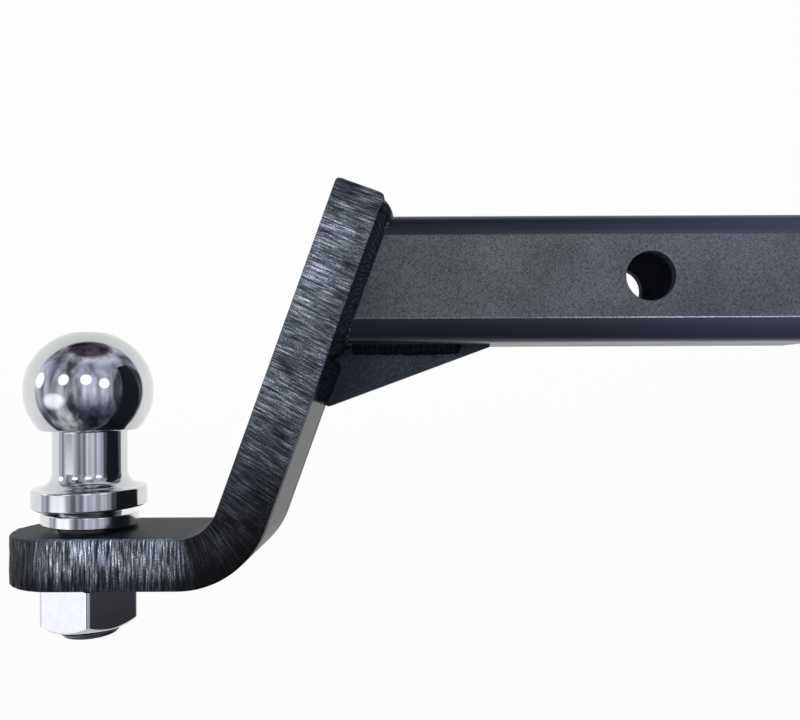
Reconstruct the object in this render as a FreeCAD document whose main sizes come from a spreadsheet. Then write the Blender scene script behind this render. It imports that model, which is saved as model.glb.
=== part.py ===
# Trailer hitch ball mount: a square shank welded to a bent drop plate, with a tow ball bolted to the plate.
# Units are millimetres. The origin is the centre of the hitch pin bore, X runs towards the vehicle and Z is up.
import os
import FreeCAD
import Part
import Sketcher

doc = FreeCAD.newDocument("ball_mount")

# Driving dimensions, one spreadsheet row each
dimensions = {
    "tube_side": 50.0,               # outside of the square shank
    "tube_wall": 5.0,
    "tube_corner_radius": 9.0,       # outside corner
    "tube_rear": 70.0,               # pin bore to the open end
    "pin_bore_diameter": 19.2,
    "plate_thickness": 20.0,
    "plate_side_margin": 0.5,        # plate wider than the shank, on each side
    "plate_setback": 113.9,          # pin bore to the back of the plate, on the shank axis
    "leg_lean": 20.0,                # degrees that the leg leans from vertical
    "leg_rise": 34.0,                # back of the plate above the shank axis, along the leg
    "platform_drop": 101.0,          # shank axis down to the ball platform
    "bend_radius": 16.0,             # inside of the bend
    "plate_edge_radius": 0.8,        # softened side edges
    "ball_reach": 227.6,             # pin bore to the ball axis
    "end_overhang": 5.0,             # centre of the round plate end beyond the ball axis
    "ball_diameter": 50.0,
    "ball_top_cut": 0.9,             # depth of the small flat on top of the ball
    "ball_underside": 16.4,          # ball centre to the flat underside
    "neck_diameter": 29.0,
    "neck_length": 23.6,
    "neck_fillet": 6.5,
    "flange_diameter": 44.6,
    "flange_thickness": 8.0,
    "flange_chamfer": 0.8,
    "stud_diameter": 24.0,
    "stud_clearance": 0.5,           # radial room in the plate hole
    "stud_projection": 4.2,          # stud beyond the nut
    "stud_chamfer": 1.6,
    "washer_bore_clearance": 0.25,   # radial room round the stud
    "washer_width": 6.6,             # radial width of the washer's section
    "washer_thickness": 5.0,
    "washer_rise": 4.6,              # how far the free ends stand apart
    "washer_split": 2.0,             # gap between the ends
    "washer_turn": 110.0,            # direction of the lower end, degrees from X
    "nut_across_flats": 36.0,
    "nut_height": 19.0,
    "nut_face_share": 0.95,          # bearing face over width across flats
    "nut_chamfer_angle": 30.0,
    "nut_turn": -8.7,                # direction of a corner, degrees from X
    "thread_clearance": 0.1,         # radial room between nut and stud
    "gusset_thickness": 9.0,
    "gusset_run": 62.5,              # along the underside of the shank
    "gusset_depth": 25.3,            # along the back of the plate
    "gusset_blunt": 4.8,             # edge left at the plate
    "gusset_tip": 1.0,               # edge left under the shank
    "gusset_fit": 0.1,               # inner corner clear of the shank weld
    "bead_stop": 12.0,               # shank bead ends short of the tip
    "weld_leg": 4.5,                 # fillet welds of the gusset
    "shank_weld_gap": 4.0,           # room for the weld between tube end and plate
    "shank_weld_lap": 1.0,           # shank weld, over the tube beyond the gap
    "shank_weld_reach": 7.0,         # shank weld, up and down the plate
    "weld_cap": 0.5,                 # height of the bead above the surface beside it
}

sheet = doc.addObject("Spreadsheet::Sheet", "Sizes")
for row, (alias, value) in enumerate(dimensions.items(), start=1):
    sheet.set("A%d" % row, alias)
    sheet.set("B%d" % row, str(value))
    sheet.setAlias("B%d" % row, alias)
doc.recompute()

# Places that several pieces share, as expressions on the sheet
LEAN = "(Sizes.leg_lean * 1 deg)"
HALF_SIDE = "(Sizes.tube_side / 2)"
BORE_SIDE = "(Sizes.tube_side - 2 * Sizes.tube_wall)"
PLATE_WIDTH = "(Sizes.tube_side + 2 * Sizes.plate_side_margin)"
BACK_NORMAL = "(-Sizes.plate_setback * cos(%s))" % LEAN
BEND_Z = "(Sizes.bend_radius - Sizes.platform_drop)"
BEND_X = "((%s - Sizes.plate_thickness - Sizes.bend_radius + sin(%s) * %s) / cos(%s))" % (
    BACK_NORMAL, LEAN, BEND_Z, LEAN)
OUTER_BEND = "(Sizes.bend_radius + Sizes.plate_thickness)"
CORNER_X = "(-Sizes.plate_setback - %s * tan(%s))" % (HALF_SIDE, LEAN)
WELD_DEPTH = "(Sizes.shank_weld_gap + Sizes.shank_weld_lap)"
SHANK_START = "(%s / cos(%s) + Sizes.weld_cap + Sizes.gusset_fit)" % (WELD_DEPTH, LEAN)
PLATE_START = "(Sizes.shank_weld_reach + Sizes.gusset_fit)"
FLANGE_BOTTOM = "(Sizes.washer_thickness + Sizes.washer_rise)"
FLANGE_TOP = "(%s + Sizes.flange_thickness)" % FLANGE_BOTTOM
UNDERSIDE = "(%s + Sizes.neck_length)" % FLANGE_TOP
BALL_CENTRE = "(%s + Sizes.ball_underside)" % UNDERSIDE
BALL_RADIUS = "(Sizes.ball_diameter / 2)"
STUD_END = "(-Sizes.plate_thickness - Sizes.nut_height - Sizes.stud_projection)"


def number(expression):
    """Value of a sheet expression."""
    value = sheet.evalExpression(expression)
    return float(getattr(value, "Value", value))


def plane(body, role):
    """One of the body's own origin planes."""
    return next(f for f in body.Origin.OriginFeatures if f.Role == role)


def new_body(name):
    body = doc.addObject("PartDesign::Body", name)
    body.Label = name
    return body


def new_sketch(body, name, role):
    sketch = body.newObject("Sketcher::SketchObject", name)
    sketch.AttachmentSupport = (plane(body, role), [""])
    sketch.MapMode = "FlatFace"
    return sketch


def bind(sketch, kind, geometry, point, name, expression):
    """Ties one coordinate of a sketch point to a sheet expression."""
    value = number(expression)
    if abs(value) < 1e-9:
        axis = -2 if kind == "DistanceX" else -1
        sketch.addConstraint(Sketcher.Constraint("PointOnObject", geometry, point, axis))
        return
    index = sketch.addConstraint(Sketcher.Constraint(kind, -1, 1, geometry, point, value))
    sketch.renameConstraint(index, name)
    sketch.setExpression("Constraints." + name, expression)


def draw(sketch, corners, tag=""):
    """Closed outline. A corner is (x, y), or (x, y, centre x, centre y, turn) where an arc leaves it."""
    points = [FreeCAD.Vector(number(c[0]), number(c[1]), 0) for c in corners]
    ends = []
    for i, corner in enumerate(corners):
        start = points[i]
        stop = points[(i + 1) % len(points)]
        if len(corner) == 2:
            index = sketch.addGeometry(Part.LineSegment(start, stop))
            ends.append((index, 1, 2))
            continue
        centre = FreeCAD.Vector(number(corner[2]), number(corner[3]), 0)
        circle = Part.Circle(centre, FreeCAD.Vector(0, 0, 1), (start - centre).Length)
        first = circle.parameter(start)
        last = circle.parameter(stop)
        if corner[4] > 0:
            index = sketch.addGeometry(Part.ArcOfCircle(circle, first, last))
            ends.append((index, 1, 2))
        else:
            index = sketch.addGeometry(Part.ArcOfCircle(circle, last, first))
            ends.append((index, 2, 1))
    for i, (index, start, stop) in enumerate(ends):
        after, after_start, after_stop = ends[(i + 1) % len(ends)]
        sketch.addConstraint(Sketcher.Constraint("Coincident", index, stop, after, after_start))
    for i, corner in enumerate(corners):
        index, start, stop = ends[i]
        bind(sketch, "DistanceX", index, start, "x%s%d" % (tag, i), corner[0])
        bind(sketch, "DistanceY", index, start, "y%s%d" % (tag, i), corner[1])
        if len(corner) > 2:
            name = "r%s%d" % (tag, i)
            radius = "sqrt((%s - %s) ^ 2 + (%s - %s) ^ 2)" % (corner[0], corner[2], corner[1], corner[3])
            made = sketch.addConstraint(Sketcher.Constraint("Radius", index, number(radius)))
            sketch.renameConstraint(made, name)
            sketch.setExpression("Constraints." + name, radius)


def rounded_rectangle(sketch, width, height, radius, rise="0", tag=""):
    """Rounded rectangle about the sketch's vertical axis, its centre lifted by rise."""
    across = "(%s) / 2" % width
    inner_across = "((%s) / 2 - (%s))" % (width, radius)
    top = "((%s) + (%s) / 2)" % (rise, height)
    bottom = "((%s) - (%s) / 2)" % (rise, height)
    upper = "(%s - (%s))" % (top, radius)
    lower = "(%s + (%s))" % (bottom, radius)
    draw(sketch, [
        ("-" + inner_across, bottom),
        (inner_across, bottom, inner_across, lower, 1),
        (across, lower),
        (across, upper, inner_across, upper, 1),
        (inner_across, top),
        ("-" + inner_across, top, "-" + inner_across, upper, 1),
        ("-" + across, upper),
        ("-" + across, lower, "-" + inner_across, lower, 1),
    ], tag)


def circle(sketch, x, diameter):
    """Circle on the sketch's horizontal axis."""
    middle = FreeCAD.Vector(number(x), 0, 0)
    index = sketch.addGeometry(Part.Circle(middle, FreeCAD.Vector(0, 0, 1), number(diameter) / 2))
    bind(sketch, "DistanceX", index, 3, "x", x)
    bind(sketch, "DistanceY", index, 3, "y", "0")
    made = sketch.addConstraint(Sketcher.Constraint("Diameter", index, number(diameter)))
    sketch.renameConstraint(made, "d")
    sketch.setExpression("Constraints.d", diameter)


def pad_both_ways(body, sketch, name, width):
    pad = body.newObject("PartDesign::Pad", name)
    pad.Profile = sketch
    pad.SideType = "Symmetric"
    pad.setExpression("Length", width)
    doc.recompute()
    return pad


def cut_through(body, sketch, name, width):
    """Pocket to both sides of the sketch, which must take material away."""
    before = body.Shape.Volume
    pocket = body.newObject("PartDesign::Pocket", name)
    pocket.Profile = sketch
    pocket.SideType = "Symmetric"
    pocket.setExpression("Length", width)
    doc.recompute()
    if body.Shape.Volume > before - 1.0:
        raise ValueError(name + " cuts nothing")
    return pocket


def place(piece, x="0", z="0", axis=None, angle="0 deg"):
    """Puts a piece at sheet-driven coordinates, turned about one axis."""
    if axis is not None:
        piece.Placement = FreeCAD.Placement(FreeCAD.Vector(), FreeCAD.Rotation(axis, number(angle)))
        piece.setExpression("Placement.Rotation.Angle", angle)
    piece.setExpression("Placement.Base.x", x)
    piece.setExpression("Placement.Base.z", z)


AXIS_Y = FreeCAD.Vector(0, 1, 0)
AXIS_Z = FreeCAD.Vector(0, 0, 1)


def make_drop_plate():
    """Flame-cut bar bent to a platform and a leaning leg, with a round end and the stud hole."""
    body = new_body("drop_plate")
    outline = new_sketch(body, "plate_outline", "XZ_Plane")
    end_x = "(-Sizes.ball_reach - Sizes.end_overhang - %s / 2)" % PLATE_WIDTH
    top = "-Sizes.platform_drop"
    bottom = "(-Sizes.platform_drop - Sizes.plate_thickness)"
    back_x = "(-Sizes.plate_setback + Sizes.leg_rise * sin(%s))" % LEAN
    back_z = "(Sizes.leg_rise * cos(%s))" % LEAN
    draw(outline, [
        (end_x, bottom),
        (BEND_X, bottom, BEND_X, BEND_Z, 1),
        ("(%s + %s * cos(%s))" % (BEND_X, OUTER_BEND, LEAN), "(%s - %s * sin(%s))" % (BEND_Z, OUTER_BEND, LEAN)),
        (back_x, back_z),
        ("(%s - Sizes.plate_thickness * cos(%s))" % (back_x, LEAN),
         "(%s + Sizes.plate_thickness * sin(%s))" % (back_z, LEAN)),
        ("(%s + Sizes.bend_radius * cos(%s))" % (BEND_X, LEAN),
         "(%s - Sizes.bend_radius * sin(%s))" % (BEND_Z, LEAN), BEND_X, BEND_Z, -1),
        (BEND_X, top),
        (end_x, top),
    ])
    bar = pad_both_ways(body, outline, "plate_bar", PLATE_WIDTH)

    # The long edges of both cut sides are softened
    side = number(PLATE_WIDTH) / 2
    edges = []
    for index, edge in enumerate(body.Shape.Edges, start=1):
        if min(abs(edge.BoundBox.YMin), abs(edge.BoundBox.YMax)) > side - 1e-4 and edge.BoundBox.YLength < 1e-4:
            edges.append("Edge%d" % index)
    soft = body.newObject("PartDesign::Fillet", "plate_edges")
    soft.Base = (bar, edges)
    soft.setExpression("Radius", "Sizes.plate_edge_radius")
    doc.recompute()

    # Waste outside the round end, cut away in plan
    rounding = new_sketch(body, "plate_end", "XY_Plane")
    centre_x = "(-Sizes.ball_reach - Sizes.end_overhang)"
    half = "(%s / 2)" % PLATE_WIDTH
    waste_x = "(%s - %s)" % (centre_x, PLATE_WIDTH)
    waste_y = PLATE_WIDTH
    draw(rounding, [
        (centre_x, waste_y),
        (waste_x, waste_y),
        (waste_x, "-" + waste_y),
        (centre_x, "-" + waste_y),
        (centre_x, "-" + half, centre_x, "0", -1),
        (end_x, "0", centre_x, "0", -1),
        (centre_x, half),
    ])
    depth = "(2 * (Sizes.platform_drop + Sizes.plate_thickness) + Sizes.plate_thickness)"
    cut_through(body, rounding, "plate_end_cut", depth)

    hole = new_sketch(body, "stud_hole", "XY_Plane")
    circle(hole, "-Sizes.ball_reach", "Sizes.stud_diameter + 2 * Sizes.stud_clearance")
    cut_through(body, hole, "stud_hole_cut", depth)
    return body


def make_shank_tube():
    """Square tube with the cross-drilled pin bore, its welded end cut to the plate's lean."""
    body = new_body("shank_tube")
    section = new_sketch(body, "tube_section", "YZ_Plane")
    rounded_rectangle(section, "Sizes.tube_side", "Sizes.tube_side", "Sizes.tube_corner_radius")
    bore_radius = "(Sizes.tube_corner_radius - Sizes.tube_wall)"
    rounded_rectangle(section, BORE_SIDE, BORE_SIDE, bore_radius, tag="in")
    pad = body.newObject("PartDesign::Pad", "tube_stock")
    pad.Profile = section
    pad.SideType = "Two sides"
    pad.setExpression("Length", "Sizes.tube_rear")
    pad.setExpression("Length2", "Sizes.plate_setback + Sizes.tube_side")
    doc.recompute()

    # The welded end stops short of the back of the plate, and leans with it
    mitre = new_sketch(body, "tube_mitre", "XZ_Plane")
    reach = "Sizes.tube_side"
    end_x = "(-Sizes.plate_setback + Sizes.shank_weld_gap / cos(%s))" % LEAN
    draw(mitre, [
        ("(%s + %s * tan(%s))" % (end_x, reach, LEAN), reach),
        ("(-Sizes.plate_setback - 3 * %s)" % reach, reach),
        ("(-Sizes.plate_setback - 3 * %s)" % reach, "-" + reach),
        ("(%s - %s * tan(%s))" % (end_x, reach, LEAN), "-" + reach),
    ])
    cut_through(body, mitre, "tube_mitre_cut", "2 * Sizes.tube_side")

    bore = new_sketch(body, "pin_bore", "XZ_Plane")
    circle(bore, "0", "Sizes.pin_bore_diameter")
    cut_through(body, bore, "pin_bore_cut", "2 * Sizes.tube_side")
    return body


def make_tow_ball():
    """Ball, neck, flange and threaded stud turned in one piece, standing on the platform."""
    body = new_body("tow_ball")
    profile = new_sketch(body, "ball_profile", "XZ_Plane")
    flat = "sqrt(2 * %s * Sizes.ball_top_cut - Sizes.ball_top_cut ^ 2)" % BALL_RADIUS
    top = "(%s + %s - Sizes.ball_top_cut)" % (BALL_CENTRE, BALL_RADIUS)
    rim = "sqrt(%s ^ 2 - Sizes.ball_underside ^ 2)" % BALL_RADIUS
    neck = "(Sizes.neck_diameter / 2)"
    root = "(%s + Sizes.neck_fillet)" % neck
    flange = "(Sizes.flange_diameter / 2)"
    flange_inner = "(%s - Sizes.flange_chamfer)" % flange
    stud = "(Sizes.stud_diameter / 2)"
    draw(profile, [
        ("0", top),
        (flat, top, "0", BALL_CENTRE, -1),
        (rim, UNDERSIDE),
        (neck, UNDERSIDE),
        (neck, "(%s + Sizes.neck_fillet)" % FLANGE_TOP, root, "(%s + Sizes.neck_fillet)" % FLANGE_TOP, 1),
        (root, FLANGE_TOP),
        (flange_inner, FLANGE_TOP),
        (flange, "(%s - Sizes.flange_chamfer)" % FLANGE_TOP),
        (flange, "(%s + Sizes.flange_chamfer)" % FLANGE_BOTTOM),
        (flange_inner, FLANGE_BOTTOM),
        (stud, FLANGE_BOTTOM),
        (stud, "(%s + Sizes.stud_chamfer)" % STUD_END),
        ("(%s - Sizes.stud_chamfer)" % stud, STUD_END),
        ("0", STUD_END),
    ])
    turned = body.newObject("PartDesign::Revolution", "ball_turning")
    turned.Profile = profile
    turned.ReferenceAxis = (profile, ["V_Axis"])
    turned.Angle = 360
    place(body, "-Sizes.ball_reach", "-Sizes.platform_drop")
    return body


def make_lock_washer():
    """Split spring washer, a left-hand helix of one turn between the platform and the ball's flange."""
    body = new_body("lock_washer")
    section = new_sketch(body, "washer_section", "XZ_Plane")
    inner = "(Sizes.stud_diameter / 2 + Sizes.washer_bore_clearance)"
    outer = "(%s + Sizes.washer_width)" % inner
    draw(section, [
        (inner, "0"),
        (outer, "0"),
        (outer, "Sizes.washer_thickness"),
        (inner, "Sizes.washer_thickness"),
    ])
    coil = body.newObject("PartDesign::AdditiveHelix", "washer_coil")
    coil.Profile = section
    coil.ReferenceAxis = (section, ["V_Axis"])
    coil.Mode = "height-turns-angle"
    coil.LeftHanded = True
    coil.setExpression("Height", "Sizes.washer_rise")
    middle = "(%s + Sizes.washer_width / 2)" % inner
    coil.setExpression("Turns", "1 - Sizes.washer_split / (2 * pi * %s)" % middle)
    place(body, "-Sizes.ball_reach", "-Sizes.platform_drop", AXIS_Z, "Sizes.washer_turn * 1 deg")
    return body


def make_ball_nut():
    """Hexagon nut under the platform, with both faces chamfered by a turning cut."""
    prism = doc.addObject("Part::Prism", "nut_hexagon")
    prism.Polygon = 6
    prism.setExpression("Circumradius", "Sizes.nut_across_flats / 2 / cos(30 deg)")
    prism.setExpression("Height", "Sizes.nut_height")

    turning = new_body("nut_turning")
    profile = new_sketch(turning, "nut_profile", "XZ_Plane")
    face = "(Sizes.nut_across_flats / 2 * Sizes.nut_face_share)"
    rim = "Sizes.nut_across_flats"
    chamfer = "((%s - %s) * tan(Sizes.nut_chamfer_angle * 1 deg))" % (rim, face)
    bore = "(Sizes.stud_diameter / 2 + Sizes.thread_clearance)"
    draw(profile, [
        (bore, "0"),
        (face, "0"),
        (rim, chamfer),
        (rim, "(Sizes.nut_height - %s)" % chamfer),
        (face, "Sizes.nut_height"),
        (bore, "Sizes.nut_height"),
    ])
    turned = turning.newObject("PartDesign::Revolution", "nut_turning_cut")
    turned.Profile = profile
    turned.ReferenceAxis = (profile, ["V_Axis"])
    turned.Angle = 360

    nut = doc.addObject("Part::Common", "ball_nut")
    nut.Base = prism
    nut.Tool = turning
    below = "-Sizes.platform_drop - Sizes.plate_thickness - Sizes.nut_height"
    place(nut, "-Sizes.ball_reach", below, AXIS_Z, "Sizes.nut_turn * 1 deg")
    return nut


def make_gusset():
    """Flat stiffener in the corner under the shank, its inner corner cut off along the shank weld."""
    body = new_body("gusset")
    outline = new_sketch(body, "gusset_outline", "XZ_Plane")
    under = "-" + HALF_SIDE
    tip_x = "(%s + Sizes.gusset_run)" % CORNER_X

    def on_plate(distance, off="0"):
        x = "(%s - %s * sin(%s) + %s * cos(%s))" % (CORNER_X, distance, LEAN, off, LEAN)
        z = "(%s - %s * cos(%s) - %s * sin(%s))" % (under, distance, LEAN, off, LEAN)
        return x, z

    draw(outline, [
        ("(%s + %s)" % (CORNER_X, SHANK_START), under),
        on_plate(PLATE_START),
        on_plate("Sizes.gusset_depth"),
        on_plate("Sizes.gusset_depth", "Sizes.gusset_blunt"),
        (tip_x, "(%s - Sizes.gusset_tip)" % under),
        (tip_x, under),
    ])
    pad_both_ways(body, outline, "gusset_sheet", "Sizes.gusset_thickness")
    return body


def fillet_weld(name, role, side, along, length, turned):
    """Triangular bead along one side of the gusset."""
    body = new_body(name)
    section = new_sketch(body, name + "_section", role)
    sign = "-" if side < 0 else ""
    face = sign + "(Sizes.gusset_thickness / 2)"
    toe = sign + "(Sizes.gusset_thickness / 2 + Sizes.weld_leg)"
    if turned:
        draw(section, [("0", face), ("Sizes.weld_leg", face), ("0", toe)])
    else:
        draw(section, [(face, "0"), (toe, "0"), (face, "-Sizes.weld_leg")])
    bead = body.newObject("PartDesign::Pad", name + "_bead")
    bead.Profile = section
    bead.Reversed = turned
    bead.setExpression("Length", length)
    if turned:
        x = "%s - %s * sin(%s)" % (CORNER_X, along, LEAN)
        z = "-%s - %s * cos(%s)" % (HALF_SIDE, along, LEAN)
        place(body, x, z, AXIS_Y, LEAN)
    else:
        place(body, "%s + %s" % (CORNER_X, along), "-" + HALF_SIDE)
    return body


def make_shank_weld(tube):
    """Bead all round the shank filling the gap that is left to the plate."""
    stretch = "(Sizes.tube_side / cos(%s))" % LEAN
    narrow = "(Sizes.tube_side + 2 * Sizes.weld_cap)"
    lift = "(%s * tan(%s))" % (WELD_DEPTH, LEAN)
    sections = {
        "weld_foot": (PLATE_WIDTH, "(%s + 2 * Sizes.shank_weld_reach)" % stretch, "0", "0"),
        "weld_toe": (narrow, "(%s + 2 * Sizes.weld_cap)" % stretch, lift, WELD_DEPTH),
    }
    outlines = []
    for name, (width, height, rise, off) in sections.items():
        sketch = doc.addObject("Sketcher::SketchObject", name)
        lying = FreeCAD.Rotation(FreeCAD.Vector(1, 1, 1), 120)
        leaning = FreeCAD.Rotation(AXIS_Y, number("Sizes.leg_lean"))
        sketch.Placement = FreeCAD.Placement(FreeCAD.Vector(), leaning.multiply(lying))
        sketch.setExpression("Placement.Base.x", "-Sizes.plate_setback + %s * cos(%s)" % (off, LEAN))
        sketch.setExpression("Placement.Base.z", "-%s * sin(%s)" % (off, LEAN))
        rounded_rectangle(sketch, width, height, "Sizes.tube_corner_radius", rise)
        outlines.append(sketch)
    collar = doc.addObject("Part::Loft", "weld_collar")
    collar.Sections = outlines
    collar.Solid = True
    collar.Ruled = True

    core = doc.addObject("Part::Box", "weld_core")
    core.setExpression("Length", "4 * Sizes.tube_side")
    core.setExpression("Width", BORE_SIDE)
    core.setExpression("Height", BORE_SIDE)
    core.setExpression("Placement.Base.x", "-Sizes.plate_setback - 2 * Sizes.tube_side")
    core.setExpression("Placement.Base.y", "-%s / 2" % BORE_SIDE)
    core.setExpression("Placement.Base.z", "-%s / 2" % BORE_SIDE)

    ring = doc.addObject("Part::Cut", "weld_ring")
    ring.Base = collar
    ring.Tool = core
    weld = doc.addObject("Part::Cut", "shank_weld")
    weld.Base = ring
    weld.Tool = tube
    return weld


shank_tube = make_shank_tube()
doc.recompute()
pieces = [
    shank_tube,
    make_drop_plate(),
    make_shank_weld(shank_tube),
    make_gusset(),
    make_tow_ball(),
    make_lock_washer(),
    make_ball_nut(),
]
bead_on_shank = "(Sizes.gusset_run - Sizes.bead_stop - %s)" % SHANK_START
bead_on_plate = "(Sizes.gusset_depth - %s)" % PLATE_START
for hand, side in (("right", -1), ("left", 1)):
    pieces.append(fillet_weld("gusset_shank_weld_" + hand, "YZ_Plane", side,
                              SHANK_START, bead_on_shank, False))
    pieces.append(fillet_weld("gusset_plate_weld_" + hand, "XY_Plane", side,
                              PLATE_START, bead_on_plate, True))
doc.recompute()

for thing in doc.Objects:
    if "Invalid" in thing.State or "Error" in thing.State:
        raise ValueError("%s failed: %s" % (thing.Label, thing.State))
for piece in pieces:
    if piece.Shape.isNull() or not piece.Shape.isValid():
        raise ValueError(piece.Label + " has no valid shape")

os.makedirs("parts", exist_ok=True)
for piece in pieces:
    piece.Shape.exportStep("parts/%s.step" % piece.Label)
    print("%-26s %10.1f mm3" % (piece.Label, piece.Shape.Volume))
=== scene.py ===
import math
import bmesh
import bpy
import numpy as np
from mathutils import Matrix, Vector


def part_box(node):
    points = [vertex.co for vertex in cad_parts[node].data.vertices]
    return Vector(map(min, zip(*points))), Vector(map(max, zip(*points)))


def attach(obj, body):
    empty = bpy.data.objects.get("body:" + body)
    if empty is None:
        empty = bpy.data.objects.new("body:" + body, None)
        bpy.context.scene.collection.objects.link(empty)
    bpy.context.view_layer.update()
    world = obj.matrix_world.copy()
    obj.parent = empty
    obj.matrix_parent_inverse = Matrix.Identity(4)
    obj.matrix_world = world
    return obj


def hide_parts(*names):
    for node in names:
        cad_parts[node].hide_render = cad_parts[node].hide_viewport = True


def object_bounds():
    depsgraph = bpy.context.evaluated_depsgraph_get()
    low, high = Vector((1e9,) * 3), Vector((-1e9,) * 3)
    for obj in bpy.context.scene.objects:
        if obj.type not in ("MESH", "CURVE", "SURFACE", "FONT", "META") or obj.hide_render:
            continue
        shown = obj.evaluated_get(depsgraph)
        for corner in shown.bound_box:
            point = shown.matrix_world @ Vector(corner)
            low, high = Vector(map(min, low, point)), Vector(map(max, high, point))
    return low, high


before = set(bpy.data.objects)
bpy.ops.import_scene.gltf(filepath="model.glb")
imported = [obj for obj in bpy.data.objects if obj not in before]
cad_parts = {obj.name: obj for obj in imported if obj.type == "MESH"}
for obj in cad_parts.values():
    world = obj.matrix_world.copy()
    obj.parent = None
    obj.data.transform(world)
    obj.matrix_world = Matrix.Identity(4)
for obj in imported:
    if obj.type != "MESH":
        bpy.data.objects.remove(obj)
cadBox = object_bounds()
mm = 0.001
scene = bpy.context.scene
scene.view_settings.view_transform = "Standard"
rng = np.random.default_rng(11)  # one seed for every rough surface


# sRGB hex to linear: c / 12.92 below 0.04045, else ((c + 0.055) / 1.055) ^ 2.4
def toLinear(hexColour):
    c = np.array([int(hexColour[i:i + 2], 16) for i in (1, 3, 5)]) / 255.0
    lin = np.where(c <= 0.04045, c / 12.92, ((c + 0.055) / 1.055) ** 2.4)
    return tuple(float(v) for v in lin) + (1.0,)


# adds one node, sets its properties and input values, and links its inputs
def addNode(tree, kind, props=None, values=None, links=None):
    node = tree.nodes.new("ShaderNode" + kind)
    for key, value in (props or {}).items():
        setattr(node, key, value)
    for key, value in (values or {}).items():
        node.inputs[key].default_value = value
    for key, source in (links or {}).items():
        tree.links.new(source, node.inputs[key])
    return node


def newMaterial(name):
    mat = bpy.data.materials.new(name)
    mat.use_nodes = True
    mat.node_tree.nodes.clear()
    return mat, mat.node_tree


def setRamp(node, stops):
    ramp = node.color_ramp
    while len(ramp.elements) < len(stops):
        ramp.elements.new(0.5)
    for element, (place, colour) in zip(ramp.elements, stops):
        element.position = place
        element.color = colour


def grey(v):
    return (v, v, v, 1.0)


# points on a grid of rows and columns become quads; a ring direction joins its last line to its first,
# open ends of rings are capped with one face, doubles are merged and normals turned outwards
def gridPiece(name, points, ringU=False, ringV=False, caps=False, track=None, sharp=40.0):
    nu, nv = points.shape[:2]
    i = np.arange(nu if ringU else nu - 1)[:, None]
    j = np.arange(nv if ringV else nv - 1)[None, :]
    iNext = (i + 1) % nu
    jNext = (j + 1) % nv
    quads = np.stack([i * nv + j, iNext * nv + j, iNext * nv + jNext, i * nv + jNext], axis=-1)
    faces = quads.reshape(-1, 4).tolist()
    if caps:
        faces.append(list(range(nv)))
        faces.append(list(range((nu - 1) * nv, nu * nv)))
    mesh = bpy.data.meshes.new(name)
    mesh.from_pydata(points.reshape(-1, 3), [], faces)
    if track is not None:
        layer = mesh.attributes.new("track", "FLOAT_VECTOR", "POINT")
        layer.data.foreach_set("vector", track.reshape(-1).astype(np.float32))
    work = bmesh.new()
    work.from_mesh(mesh)
    bmesh.ops.remove_doubles(work, verts=work.verts, dist=1e-6)
    bmesh.ops.dissolve_degenerate(work, edges=work.edges, dist=1e-7)
    bmesh.ops.recalc_face_normals(work, faces=work.faces)
    work.to_mesh(mesh)
    work.free()
    mesh.polygons.foreach_set("use_smooth", np.ones(len(mesh.polygons), dtype=bool))
    mesh.set_sharp_from_angle(angle=math.radians(sharp))
    piece = bpy.data.objects.new(name, mesh)
    scene.collection.objects.link(piece)
    return piece


def dress(piece, node, material):
    piece.data.materials.clear()
    piece.data.materials.append(material)
    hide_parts(node)
    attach(piece, "root")
    return piece


# random grid smoothed along both axes: each pass averages a cell with its two neighbours
def smoothNoise(rows, columns, passRows, passColumns):
    field = rng.standard_normal((rows, columns))
    for axis, passes in ((0, passRows), (1, passColumns)):
        for _ in range(passes):
            field = (np.roll(field, 1, axis) + 2 * field + np.roll(field, -1, axis)) / 4
    return field / field.std()


print("frame loaded:", len(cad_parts), "nodes")

# camera: a wide lens straight at the side of the mount, cropped off centre as in the photo
cameraSet = {
    "place": (-86.1, -307.0, -42.1),   # mm, from the pin bore
    "focalPixels": 733.0,              # focal length in pixels of the photo's width
    "middlePixel": (428.0, 386.0),     # where the lens axis meets the photo
    "frameSize": (800.0, 720.0),
    "rollDegrees": 0.25,
}
camData = bpy.data.cameras.new("photoCamera")
width, height = cameraSet["frameSize"]
camData.sensor_width = 36.0
camData.lens = cameraSet["focalPixels"] / width * camData.sensor_width
camData.shift_x = (width / 2 - cameraSet["middlePixel"][0]) / width
camData.shift_y = (cameraSet["middlePixel"][1] - height / 2) / width
camData.clip_start = 0.01
camera = bpy.data.objects.new("photoCamera", camData)
camera.location = [v * mm for v in cameraSet["place"]]
camera.rotation_euler = (math.radians(90), math.radians(cameraSet["rollDegrees"]), 0)
scene.collection.objects.link(camera)
scene.camera = camera


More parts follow.
